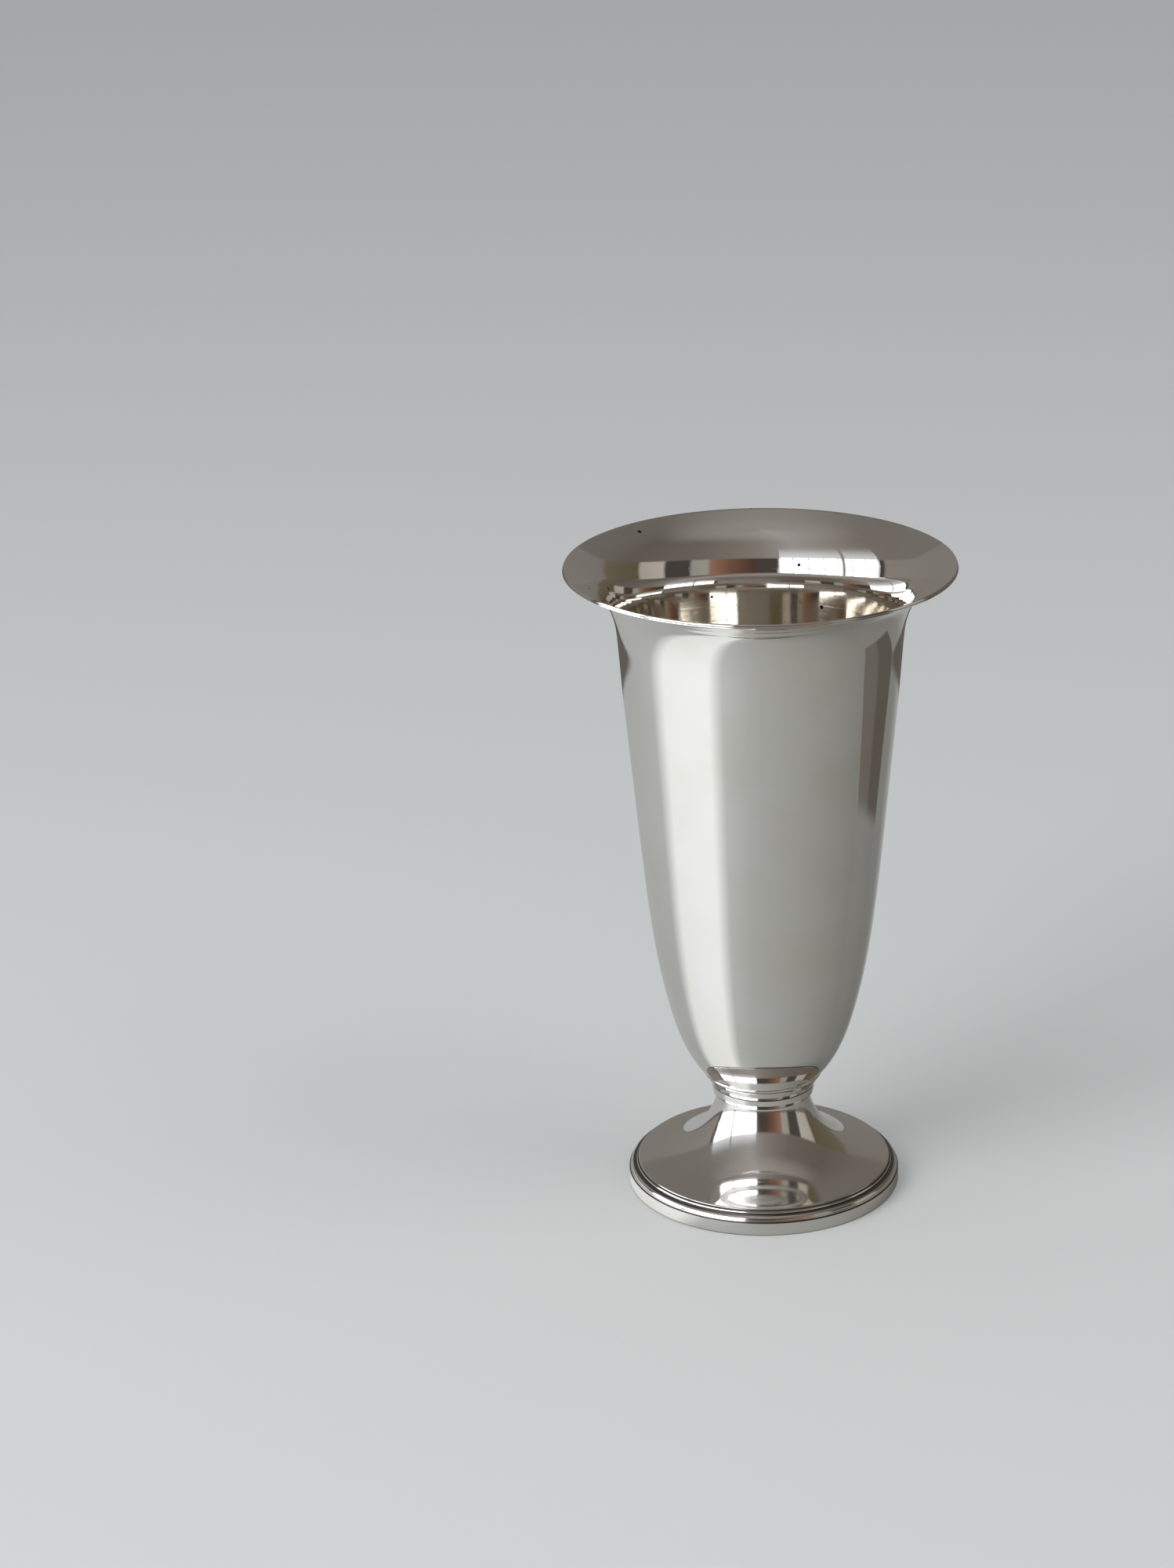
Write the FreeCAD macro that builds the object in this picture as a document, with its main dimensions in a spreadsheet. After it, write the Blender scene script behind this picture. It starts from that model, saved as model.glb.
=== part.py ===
import FreeCAD, Part
import math
import os

import Sketcher

# A trumpet vase of polished silver: a tall spun bowl with a flared mouth, held on a turned
# collar above a spun foot. A stud below the bowl bolts it to the foot, which is filled for
# weight and closed with a felt disc. Millimetres, +Z up, origin at the centre of the base.

SIZES = (
    ("mouth_radius", 58.4, "edge of the mouth"),
    ("throat_radius", 42.5, "bowl where the mouth starts to flare"),
    ("flat_radius", 9.0, "flat of the bowl's bottom"),
    ("body_height", 143.0, "bowl from its bottom to the throat"),
    ("flare_height", 21.3, "throat to the edge of the mouth"),
    ("bowl_wall", 0.8, "sheet of the bowl"),
    ("wire_width", 1.5, "wire under the edge of the mouth"),
    ("wire_depth", 0.3, "straight side of that wire"),
    ("solder_gap", 0.1, "gap at a soldered curved joint"),
    ("collar_floor", 5.4, "collar between the bowl's bottom and the foot"),
    ("upper_ring_inset", 0.34, "ring below the bowl, inside the joint on the bowl's side"),
    ("upper_ring_hang", 1.08, "underside of that ring below the same point of the bowl"),
    ("upper_ring_taper", 0.05, "how much narrower that ring is at its underside"),
    ("upper_ring_drop", 0.1, "underside of that ring above the collar's rim"),
    ("upper_ring_land", 0.2, "flat of that ring's underside"),
    ("collar_inset", 0.69, "collar's rim inside the bowl's side"),
    ("collar_taper", 1.95, "how much narrower the collar is at its shoulder"),
    ("shoulder_height", 3.05, "collar's shoulder above the foot"),
    ("lower_ring_width", 1.2, "ring round the foot of the collar"),
    ("lower_ring_taper", 0.45, "how much narrower that ring is at its underside"),
    ("stem_inset", 1.35, "top of the foot inside that ring's underside"),
    ("foot_rise", 22.0, "foot from the dome's edge to its top"),
    ("foot_wall", 0.9, "sheet of the foot"),
    ("dome_radius", 39.1, "edge of the foot's dome"),
    ("dome_softening", 0.4, "rounding of the dome's edge"),
    ("dome_edge", 2.4, "turned-down edge of the dome"),
    ("slide_gap", 0.05, "gap between pieces that slide together"),
    ("flange_width", 2.5, "flange under the dome's edge"),
    ("flange_thickness", 1.0, "thickness of that flange"),
    ("bead_drop", 0.55, "dome's edge above the bead"),
    ("bead_height", 0.95, "height of the bead"),
    ("bead_reach", 0.5, "how far the bead stands out"),
    ("bead_step", 0.2, "step below the bead"),
    ("ovolo_height", 1.35, "height of the moulding's rounded part"),
    ("ovolo_reach", 1.55, "how far the rounded part stands out"),
    ("fillet_reach", 0.15, "step and slope below the rounded part"),
    ("ledge_reach", 0.25, "band beyond the moulding"),
    ("band_height", 4.2, "upright band that the vase rests on"),
    ("band_wall", 1.2, "thickness of that band"),
    ("band_softening", 0.12, "softened edges of that band"),
    ("stud_radius", 3.0, "stud that holds the foot to the bowl"),
    ("stud_clearance", 0.3, "room round the stud in its bores"),
    ("stud_overhang", 2.0, "stud below the nut"),
    ("stud_chamfer", 0.6, "chamfer at the stud's end"),
    ("spigot_radius", 7.0, "collar's spigot in the top of the foot"),
    ("spigot_length", 0.7, "length of that spigot"),
    ("washer_radius", 9.0, "washer under the top of the foot"),
    ("washer_thickness", 1.2, "thickness of the washer"),
    ("nut_width", 10.0, "nut across its flats"),
    ("nut_height", 5.0, "height of the nut"),
    ("felt_thickness", 1.3, "felt disc under the foot"),
    ("plate_thickness", 1.0, "plate that closes the foot"),
    ("filler_gap", 0.3, "gap between the filling and the foot's sheet"),
    ("filler_drop", 2.5, "top of the filling below the stud"),
)

# Poles of the bowl's outer line as shares of the throat's radius and the body's height.
BODY_SHARES = (
    (0.367, 0.0),
    (0.428, 0.0085),
    (0.569, 0.07),
    (0.66, 0.148),
    (0.766, 0.282),
    (0.847, 0.483),
    (0.915, 0.706),
    (0.976, 0.888),
    (1.0, 1.0),
)
# The same for the mouth, as shares of what it adds to the throat's radius and height.
FLARE_SHARES = ((0.055, 0.33), (0.32, 0.77), (0.69, 0.89), (1.0, 1.0))
# Poles of the foot's outer line as shares of its reach beyond the stem and of its rise.
FOOT_SHARES = ((0.84, 0.045), (0.43, 0.09), (0.065, 0.62))
# Shares of a spline's second, third and fourth pole in its point at the first inner knot,
# and in its direction there.
KNOT_SHARES = (1 / 4, 7 / 12, 1 / 6)
DIRECTION_SHARES = (-3 / 4, 1 / 4, 1 / 2)

# How far an arc bulges, as a share of the line between its ends.
QUARTER_ROUND_SHARE = 0.207
SOFT_ROUND_SHARE = 0.143
FLAT_ROUND_SHARE = 0.02
WIRE_ROUND_SHARE = 0.14


class Size:
    """A length that carries its value and the formula over the sheet that gives it."""

    def __init__(self, value, formula):
        self.value = value
        self.formula = formula

    def __add__(self, other):
        return Size(self.value + other.value, "(%s + %s)" % (self.formula, other.formula))

    def __sub__(self, other):
        return Size(self.value - other.value, "(%s - %s)" % (self.formula, other.formula))

    def __mul__(self, other):
        return Size(self.value * other.value, "(%s * %s)" % (self.formula, other.formula))

    def __truediv__(self, other):
        return Size(self.value / other.value, "(%s / %s)" % (self.formula, other.formula))

    def times(self, share):
        return Size(self.value * share, "(%s * %r)" % (self.formula, share))


def root(size):
    return Size(math.sqrt(size.value), "sqrt(%s)" % size.formula)


def make_sheet(document):
    """Writes the driving sizes into a sheet and returns them by name."""
    sheet = document.addObject("Spreadsheet::Sheet", "Sizes")
    named = {}
    for row, (alias, value, note) in enumerate(SIZES, start=1):
        sheet.set("A%d" % row, note)
        sheet.set("B%d" % row, str(value))
        sheet.setAlias("B%d" % row, alias)
        named[alias] = Size(value, "Sizes.%s" % alias)
    document.recompute()
    return named


document = FreeCAD.newDocument("TrumpetVase")
S = make_sheet(document)
ZERO = Size(0.0, "0")

# Heights, from the table up.
SEAT = S["band_height"] + S["flange_thickness"]
DOME_TOP = SEAT + S["dome_edge"]
FOOT_TOP = DOME_TOP + S["foot_rise"]
PLATE_UNDERSIDE = FOOT_TOP - S["foot_wall"]
BOWL_BOTTOM = FOOT_TOP + S["collar_floor"]
SHOULDER = FOOT_TOP + S["shoulder_height"]
THROAT = BOWL_BOTTOM + S["body_height"]
NUT_TOP = PLATE_UNDERSIDE - S["washer_thickness"]
NUT_BOTTOM = NUT_TOP - S["nut_height"]
STUD_END = NUT_BOTTOM - S["stud_overhang"]

# Radii of the border, from the dome's edge outward, and of what sits inside it.
MOULDING_BORE = S["dome_radius"] + S["slide_gap"]
BEAD_RADIUS = MOULDING_BORE + S["bead_reach"]
OVOLO_INNER = BEAD_RADIUS + S["bead_step"]
OVOLO_RADIUS = OVOLO_INNER + S["ovolo_reach"]
FILLET_RADIUS = OVOLO_RADIUS + S["fillet_reach"]
MOULDING_RADIUS = FILLET_RADIUS + S["fillet_reach"]
BAND_RADIUS = MOULDING_RADIUS + S["ledge_reach"]
BAND_BORE = BAND_RADIUS - S["band_wall"]
FLANGE_BORE = S["dome_radius"] - S["flange_width"]
DISC_RADIUS = BAND_BORE - S["slide_gap"]
STUD_BORE = S["stud_radius"] + S["stud_clearance"]
SPIGOT_BORE = S["spigot_radius"] + S["slide_gap"]


def bowl_poles():
    """The bowl's outer line, from the edge of its flat bottom to the edge of the mouth."""
    reach = S["mouth_radius"] - S["throat_radius"]
    poles = [(S["flat_radius"], BOWL_BOTTOM)]
    for across, up in BODY_SHARES:
        height = BOWL_BOTTOM + S["body_height"].times(up)
        poles.append((S["throat_radius"].times(across), height))
    for across, up in FLARE_SHARES:
        height = THROAT + S["flare_height"].times(up)
        poles.append((S["throat_radius"] + reach.times(across), height))
    return poles


def weighed(poles, shares):
    """The sum of the poles after the first, each times its share."""
    across = up = ZERO
    for share, pole in zip(shares, poles[1:]):
        across = across + pole[0].times(share)
        up = up + pole[1].times(share)
    return across, up


# A point on the bowl's side above its ring; the ring, the collar and the foot's stem follow it.
# The ring's top is where the side comes within two solder gaps of the ring's edge.
BOWL_POLES = bowl_poles()
JOINT_RADIUS, JOINT_HEIGHT = weighed(BOWL_POLES, KNOT_SHARES)
JOINT_RUN, JOINT_RISE = weighed(BOWL_POLES, DIRECTION_SHARES)
UPPER_RING_RADIUS = JOINT_RADIUS - S["upper_ring_inset"]
UPPER_RING_DEPTH = S["upper_ring_inset"] + S["solder_gap"].times(2)
UPPER_RING_TOP = JOINT_HEIGHT - UPPER_RING_DEPTH * JOINT_RISE / JOINT_RUN
UPPER_RING_UNDERSIDE = JOINT_HEIGHT - S["upper_ring_hang"]
COLLAR_RIM = UPPER_RING_UNDERSIDE - S["upper_ring_drop"]
COLLAR_RADIUS = JOINT_RADIUS - S["collar_inset"]
SHOULDER_RADIUS = COLLAR_RADIUS - S["collar_taper"]
LOWER_RING_BORE = SHOULDER_RADIUS - S["lower_ring_width"]
LOWER_RING_EDGE = SHOULDER_RADIUS - S["lower_ring_taper"]
STEM_RADIUS = LOWER_RING_EDGE - S["stem_inset"]


def foot_poles():
    """The foot's outer line, from the rounded edge of the dome to the top of the stem."""
    reach = S["dome_radius"] - STEM_RADIUS
    poles = [(S["dome_radius"] - S["dome_softening"], DOME_TOP)]
    for across, up in FOOT_SHARES:
        poles.append((STEM_RADIUS + reach.times(across), DOME_TOP + S["foot_rise"].times(up)))
    poles.append((STEM_RADIUS, PLATE_UNDERSIDE))
    return poles


def beside(before, pole, after, distance):
    """The point at a distance to the left of a pole, square to the line past it."""
    run = after[0] - before[0]
    rise = after[1] - before[1]
    length = root(run * run + rise * rise)
    return (pole[0] - distance * rise / length, pole[1] + distance * run / length)


def shifted(poles, distance):
    """The poles of a line that runs at a distance to the left of the given one."""
    line = []
    for index, pole in enumerate(poles):
        before = poles[max(index - 1, 0)]
        after = poles[min(index + 1, len(poles) - 1)]
        line.append(beside(before, pole, after, distance))
    return line


FOOT_POLES = foot_poles()
FOOT_INNER_POLES = shifted(FOOT_POLES, S["foot_wall"])


def vector(point):
    return FreeCAD.Vector(point[0].value, point[1].value, 0)


def arc_middle(start, end, bulge):
    """The middle of an arc that bulges to the left of its chord, or to the right if negative."""
    a, b = vector(start), vector(end)
    chord = b - a
    return (a + b) / 2 + FreeCAD.Vector(-chord.y, chord.x, 0) * bulge


def arc_radius(start, end, bulge):
    run = end[0] - start[0]
    rise = end[1] - start[1]
    chord = root(run * run + rise * rise)
    return chord.times((0.25 + bulge**2) / (2 * abs(bulge)))


def pin_point(sketch, geometry, position, point):
    """Holds a point of the sketch at its radius and height above the origin."""
    for kind, size, axis in (("DistanceX", point[0], -2), ("DistanceY", point[1], -1)):
        if size is ZERO:
            sketch.addConstraint(Sketcher.Constraint("PointOnObject", geometry, position, axis))
            continue
        constraint = Sketcher.Constraint(kind, -1, 1, geometry, position, size.value)
        index = sketch.addConstraint(constraint)
        sketch.setExpression("Constraints[%d]" % index, size.formula)


def cubic_spline(poles):
    """A cubic spline from the first pole to the last, with evenly spaced knots between."""
    degree = 3
    spans = len(poles) - degree
    spline = Part.BSplineCurve()
    spline.buildFromPolesMultsKnots(
        [vector(pole) for pole in poles],
        [degree + 1] + [1] * (spans - 1) + [degree + 1],
        [float(knot) for knot in range(spans + 1)],
        False,
        degree,
    )
    return spline


def add_piece(sketch, piece, end):
    """Adds a line, an arc or a spline that runs from the piece's start to the next one's."""
    kind, start = piece[0], piece[1]
    if kind == "line":
        return sketch.addGeometry(Part.LineSegment(vector(start), vector(end)))
    if kind == "arc":
        bulge = piece[2]
        middle = arc_middle(start, end, bulge)
        geometry = sketch.addGeometry(Part.Arc(vector(start), middle, vector(end)))
        radius = arc_radius(start, end, bulge)
        index = sketch.addConstraint(Sketcher.Constraint("Radius", geometry, radius.value))
        sketch.setExpression("Constraints[%d]" % index, radius.formula)
        return geometry
    inner = piece[2]
    geometry = sketch.addGeometry(cubic_spline([start] + inner + [end]))
    sketch.exposeInternalGeometry(geometry)
    for offset, pole in enumerate(inner, start=2):
        pin_point(sketch, geometry + offset, 3, pole)
    return geometry


def end_positions(sketch, geometry, start):
    """The sketch's numbers for a piece's start and end: an arc may run the other way round."""
    from_first = (sketch.getPoint(geometry, 1) - vector(start)).Length
    from_second = (sketch.getPoint(geometry, 2) - vector(start)).Length
    return (1, 2) if from_first <= from_second else (2, 1)


def outline(body, name, pieces):
    """A closed sketch on the body's own XZ plane, with radius across and height up."""
    sketch = body.newObject("Sketcher::SketchObject", name)
    plane = [item for item in body.Origin.OriginFeatures if item.Role == "XZ_Plane"][0]
    sketch.AttachmentSupport = [(plane, "")]
    sketch.MapMode = "FlatFace"
    ends = []
    for index, piece in enumerate(pieces):
        following = pieces[(index + 1) % len(pieces)][1]
        geometry = add_piece(sketch, piece, following)
        first, last = end_positions(sketch, geometry, piece[1])
        pin_point(sketch, geometry, first, piece[1])
        ends.append((geometry, first, last))
    for index, (geometry, first, last) in enumerate(ends):
        following = ends[(index + 1) % len(ends)]
        joint = Sketcher.Constraint("Coincident", geometry, last, following[0], following[1])
        sketch.addConstraint(joint)
    return sketch


def turn(body, kind, name, pieces):
    """A Revolution or a Groove of an outline about the vase's axis."""
    sketch = outline(body, name + "_outline", pieces)
    feature = body.newObject("PartDesign::" + kind, name)
    feature.Profile = sketch
    feature.ReferenceAxis = (sketch, ["V_Axis"])
    feature.Angle = 360
    document.recompute()
    return feature


def turned_body(label, pieces):
    body = document.addObject("PartDesign::Body", label)
    body.Label = label
    turn(body, "Revolution", label + "_turned", pieces)
    return body


def corners(points):
    return [("line", point) for point in points]


def make_room_for_bowl(body):
    """Cuts the bowl's outer shape, grown by the solder gap, out of a body that holds it."""
    before = body.Shape.Volume
    grown = shifted(BOWL_POLES, ZERO - S["solder_gap"])
    turn(
        body,
        "Groove",
        body.Label + "_bowl_room",
        [
            ("line", (ZERO, BOWL_BOTTOM)),
            ("line", BOWL_POLES[0]),
            ("spline", grown[0], grown[1:-1]),
            ("line", grown[-1]),
            ("line", (ZERO, grown[-1][1])),
        ],
    )
    if body.Shape.Volume >= before:
        raise RuntimeError("no room was cut for the bowl in " + body.Label)
    return body


def make_bowl_shell():
    """The spun bowl: flat in the middle of its bottom, tall and flared at the mouth."""
    inner = shifted(BOWL_POLES, S["bowl_wall"])
    return turned_body(
        "bowl_shell",
        [
            ("line", (ZERO, BOWL_BOTTOM)),
            ("spline", BOWL_POLES[0], BOWL_POLES[1:-1]),
            ("line", BOWL_POLES[-1]),
            ("spline", inner[-1], inner[-2:0:-1]),
            ("line", inner[0]),
            ("line", (ZERO, BOWL_BOTTOM + S["bowl_wall"])),
        ],
    )


def make_rim_wire():
    """A half-round wire under the edge of the mouth, with its flat side along the sheet."""
    brim, mouth = BOWL_POLES[-2], BOWL_POLES[-1]
    run = mouth[0] - brim[0]
    rise = mouth[1] - brim[1]
    length = root(run * run + rise * rise)

    def place(back, down):
        radius = mouth[0] - (back * run - down * rise) / length
        height = mouth[1] - (back * rise + down * run) / length
        return (radius, height)

    depth = S["solder_gap"] + S["wire_depth"]
    return turned_body(
        "rim_wire",
        [
            ("line", place(ZERO, S["solder_gap"])),
            ("line", place(S["wire_width"], S["solder_gap"])),
            ("arc", place(S["wire_width"], depth), -WIRE_ROUND_SHARE),
            ("line", place(ZERO, depth)),
        ],
    )


def make_collar():
    """The turned collar: a dish for the bowl's bottom, a tapered waist and a spigot."""
    spigot_end = FOOT_TOP - S["spigot_length"]
    body = turned_body(
        "collar",
        corners(
            [
                (STUD_BORE, COLLAR_RIM),
                (STUD_BORE, spigot_end),
                (S["spigot_radius"], spigot_end),
                (S["spigot_radius"], FOOT_TOP),
                (LOWER_RING_BORE, FOOT_TOP),
                (LOWER_RING_BORE, SHOULDER),
                (SHOULDER_RADIUS, SHOULDER),
                (COLLAR_RADIUS, COLLAR_RIM),
            ]
        ),
    )
    return make_room_for_bowl(body)


def make_upper_collar_ring():
    """The ring that covers the joint of the bowl and the collar's rim."""
    edge = UPPER_RING_RADIUS - S["upper_ring_taper"]
    body = turned_body(
        "upper_collar_ring",
        [
            ("line", (S["flat_radius"], COLLAR_RIM)),
            ("line", (COLLAR_RADIUS, COLLAR_RIM)),
            ("line", (edge - S["upper_ring_land"], UPPER_RING_UNDERSIDE)),
            ("arc", (edge, UPPER_RING_UNDERSIDE), -FLAT_ROUND_SHARE),
            ("line", (UPPER_RING_RADIUS, UPPER_RING_TOP)),
            ("line", (S["flat_radius"], UPPER_RING_TOP)),
        ],
    )
    return make_room_for_bowl(body)


def make_lower_collar_ring():
    """The ring that covers the joint of the collar and the foot."""
    bore = LOWER_RING_BORE + S["slide_gap"]
    underside = FOOT_TOP + S["slide_gap"]
    return turned_body(
        "lower_collar_ring",
        [
            ("line", (bore, SHOULDER)),
            ("line", (bore, underside)),
            ("arc", (LOWER_RING_EDGE, underside), -FLAT_ROUND_SHARE),
            ("line", (SHOULDER_RADIUS, SHOULDER)),
        ],
    )


def make_foot_shell():
    """The spun foot: a stem that spreads into a dome with a turned-down edge."""
    dome_inside = S["dome_radius"] - S["foot_wall"]
    inner = FOOT_INNER_POLES
    return turned_body(
        "foot_shell",
        [
            ("arc", (S["dome_radius"], DOME_TOP - S["dome_softening"]), -SOFT_ROUND_SHARE),
            ("spline", FOOT_POLES[0], FOOT_POLES[1:-1]),
            ("arc", FOOT_POLES[-1], -QUARTER_ROUND_SHARE),
            ("line", (STEM_RADIUS - S["foot_wall"], FOOT_TOP)),
            ("line", (SPIGOT_BORE, FOOT_TOP)),
            ("line", (SPIGOT_BORE, PLATE_UNDERSIDE)),
            ("line", (inner[-1][0] - S["foot_wall"], PLATE_UNDERSIDE)),
            ("line", (inner[-1][0], inner[-1][1] - S["foot_wall"])),
            ("spline", inner[-2], inner[-3:0:-1]),
            ("line", (dome_inside, inner[0][1])),
            ("line", (dome_inside, SEAT)),
            ("line", (S["dome_radius"], SEAT)),
        ],
    )


def make_border_moulding():
    """The moulding round the foot: a bead, a rounded part and a flange for the foot's edge."""
    bead_top = DOME_TOP - S["bead_drop"]
    bead_foot = bead_top - S["bead_height"]
    ovolo_foot = bead_foot - S["ovolo_height"]
    return turned_body(
        "border_moulding",
        [
            ("line", (FLANGE_BORE, S["band_height"])),
            ("line", (MOULDING_RADIUS, S["band_height"])),
            ("line", (FILLET_RADIUS, ovolo_foot)),
            ("arc", (OVOLO_RADIUS, ovolo_foot), -QUARTER_ROUND_SHARE),
            ("line", (OVOLO_INNER, bead_foot)),
            ("arc", (BEAD_RADIUS, bead_foot), -QUARTER_ROUND_SHARE),
            ("line", (MOULDING_BORE, bead_top)),
            ("line", (MOULDING_BORE, SEAT)),
            ("line", (FLANGE_BORE, SEAT)),
        ],
    )


def make_foot_band():
    """The plain upright band that the vase rests on."""
    soft = S["band_softening"]
    return turned_body(
        "foot_band",
        corners(
            [
                (BAND_BORE, ZERO),
                (BAND_RADIUS - soft, ZERO),
                (BAND_RADIUS, soft),
                (BAND_RADIUS, S["band_height"] - soft),
                (BAND_RADIUS - soft, S["band_height"]),
                (BAND_BORE, S["band_height"]),
            ]
        ),
    )


def make_bowl_stud():
    """The stud below the bowl, through the collar and the top of the foot."""
    return turned_body(
        "bowl_stud",
        corners(
            [
                (ZERO, BOWL_BOTTOM),
                (ZERO, STUD_END),
                (S["stud_radius"] - S["stud_chamfer"], STUD_END),
                (S["stud_radius"], STUD_END + S["stud_chamfer"]),
                (S["stud_radius"], BOWL_BOTTOM),
            ]
        ),
    )


def make_stud_washer():
    return turned_body(
        "stud_washer",
        corners(
            [
                (STUD_BORE, PLATE_UNDERSIDE),
                (STUD_BORE, NUT_TOP),
                (S["washer_radius"], NUT_TOP),
                (S["washer_radius"], PLATE_UNDERSIDE),
            ]
        ),
    )


def make_stud_nut():
    """The hexagon nut below the washer."""
    blank = document.addObject("Part::Prism", "stud_nut_blank")
    blank.Polygon = 6
    half_width = S["nut_width"].times(0.5)
    corner = half_width.times(1 / math.cos(math.pi / blank.Polygon))
    blank.setExpression("Circumradius", corner.formula)
    bore = document.addObject("Part::Cylinder", "stud_nut_bore")
    bore.setExpression("Radius", (S["stud_radius"] + S["slide_gap"]).formula)
    for item in (blank, bore):
        item.setExpression("Height", S["nut_height"].formula)
        item.setExpression("Placement.Base.z", NUT_BOTTOM.formula)
    nut = document.addObject("Part::Cut", "stud_nut")
    nut.Label = "stud_nut"
    nut.Base = blank
    nut.Tool = bore
    return nut


def make_foot_filler():
    """The filling that weights the foot, below its sheet and above the plate."""
    floor = S["felt_thickness"] + S["plate_thickness"]
    top = STUD_END - S["filler_drop"]
    waist = FLANGE_BORE - S["slide_gap"]
    edge = FOOT_INNER_POLES[0]
    dome, stem = FOOT_INNER_POLES[2:4]
    lean = (stem[0] - dome[0]) / (stem[1] - dome[1])
    top_radius = dome[0] + (top - dome[1]) * lean - S["filler_gap"]
    fall = (edge[1] - dome[1]) / (edge[0] - dome[0])
    waist_height = dome[1] + (waist - dome[0]) * fall - S["filler_gap"]
    return turned_body(
        "foot_filler",
        corners(
            [
                (ZERO, floor),
                (DISC_RADIUS, floor),
                (DISC_RADIUS, S["band_height"]),
                (waist, S["band_height"]),
                (waist, waist_height),
                (dome[0] - S["filler_gap"], dome[1] - S["filler_gap"]),
                (top_radius, top),
                (ZERO, top),
            ]
        ),
    )


def make_disc(label, low, high):
    """A flat disc inside the foot's band."""
    points = [(ZERO, low), (DISC_RADIUS, low), (DISC_RADIUS, high), (ZERO, high)]
    return turned_body(label, corners(points))


def check(pieces):
    """Stops before any file is written if a feature failed or a shape isn't sound."""
    for item in document.Objects:
        if "Invalid" in item.State or "Error" in item.State:
            raise RuntimeError("failed feature: %s %s" % (item.Name, item.State))
    for piece in pieces:
        shape = piece.Shape
        if shape.isNull() or not shape.isValid() or len(shape.Solids) == 0:
            raise RuntimeError("no sound solid: %s" % piece.Label)
        print("%-18s %9.1f mm3" % (piece.Label, shape.Volume))


def main():
    plate_top = S["felt_thickness"] + S["plate_thickness"]
    pieces = [
        make_bowl_shell(),
        make_rim_wire(),
        make_upper_collar_ring(),
        make_collar(),
        make_lower_collar_ring(),
        make_foot_shell(),
        make_border_moulding(),
        make_foot_band(),
        make_bowl_stud(),
        make_stud_washer(),
        make_stud_nut(),
        make_foot_filler(),
        make_disc("base_plate", S["felt_thickness"], plate_top),
        make_disc("felt_disc", ZERO, S["felt_thickness"]),
    ]
    document.recompute()
    check(pieces)
    os.makedirs("parts", exist_ok=True)
    for piece in pieces:
        piece.Shape.exportStep("parts/%s.step" % piece.Label)


main()
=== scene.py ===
"""A mirror-polished silver trumpet vase on a plain pale floor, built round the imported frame."""

import math

import bmesh
import bpy
from mathutils import Matrix, Vector


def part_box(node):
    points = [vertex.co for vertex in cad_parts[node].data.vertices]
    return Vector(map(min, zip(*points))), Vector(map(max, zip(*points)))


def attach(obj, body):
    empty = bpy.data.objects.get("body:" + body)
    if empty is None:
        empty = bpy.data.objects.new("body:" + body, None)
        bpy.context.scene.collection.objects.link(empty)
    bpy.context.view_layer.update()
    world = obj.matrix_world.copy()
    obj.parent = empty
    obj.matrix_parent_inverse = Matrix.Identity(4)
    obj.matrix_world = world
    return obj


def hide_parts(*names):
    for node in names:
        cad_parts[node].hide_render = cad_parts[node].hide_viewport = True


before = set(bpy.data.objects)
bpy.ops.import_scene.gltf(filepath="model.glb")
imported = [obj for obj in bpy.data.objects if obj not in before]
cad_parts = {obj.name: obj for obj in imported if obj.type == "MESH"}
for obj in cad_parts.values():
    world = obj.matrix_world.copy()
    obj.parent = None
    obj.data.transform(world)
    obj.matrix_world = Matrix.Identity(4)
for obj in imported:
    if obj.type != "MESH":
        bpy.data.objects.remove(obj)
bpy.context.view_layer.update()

MM = 0.001
SEGMENTS = 256
POINTS_PER_SPAN = 12
POINTS_PER_ARC = 8
SHARP_ANGLE = math.radians(32)
# Points of a softened corner, and how much of either side it may take.
CORNER_POINTS = 5
CORNER_SHARE = 0.45
TINY = 1e-6

# Driving sizes of the turned pieces in millimetres, as in the part's source.
THROAT_RADIUS = 42.5
FLAT_RADIUS = 9.0
BODY_HEIGHT = 143.0
FLARE_HEIGHT = 21.3
BOWL_WALL = 0.8
WIRE_WIDTH = 1.5
WIRE_DEPTH = 0.4
SHOULDER_HEIGHT = 3.05
COLLAR_LAND = 0.4
RING_TAPER = 0.05
RING_LAND = 0.2
RING_HEIGHT = 0.5
LOWER_RING_TAPER = 0.45
STEM_INSET = 1.35
FOOT_WALL = 0.9
DOME_SOFTENING = 0.4
DOME_EDGE = 2.4
BEAD_HEIGHT = 0.95
BEAD_REACH = 0.5
BEAD_STEP = 0.2
OVOLO_HEIGHT = 1.35
OVOLO_REACH = 1.55
FILLET_REACH = 0.15
EDGE_SOFTENING = 0.12
FELT_SOFTENING = 0.3
# Rings of the felt's uneven face, and the turn of its wave from ring to ring.
FELT_RINGS = 24
FELT_WAVE = 2.4
# Over this height the spinning marks inside the bowl fade out towards the polished mouth.
SPUN_FADE = 14.0
# How far the tarnish and painted shade spread up and down from a crease.
CREASE_REACH = 0.3

BODY_SHARES = (
    (0.367, 0.0),
    (0.428, 0.0085),
    (0.569, 0.07),
    (0.66, 0.148),
    (0.766, 0.282),
    (0.847, 0.483),
    (0.915, 0.706),
    (0.976, 0.888),
    (1.0, 1.0),
)
FLARE_SHARES = ((0.055, 0.33), (0.32, 0.77), (0.69, 0.89), (1.0, 1.0))
FOOT_SHARES = ((0.84, 0.045), (0.43, 0.09), (0.065, 0.62))
QUARTER_ROUND_SHARE = 0.207
SOFT_ROUND_SHARE = 0.143
FLAT_ROUND_SHARE = 0.02
WIRE_ROUND_SHARE = 0.14

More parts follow.
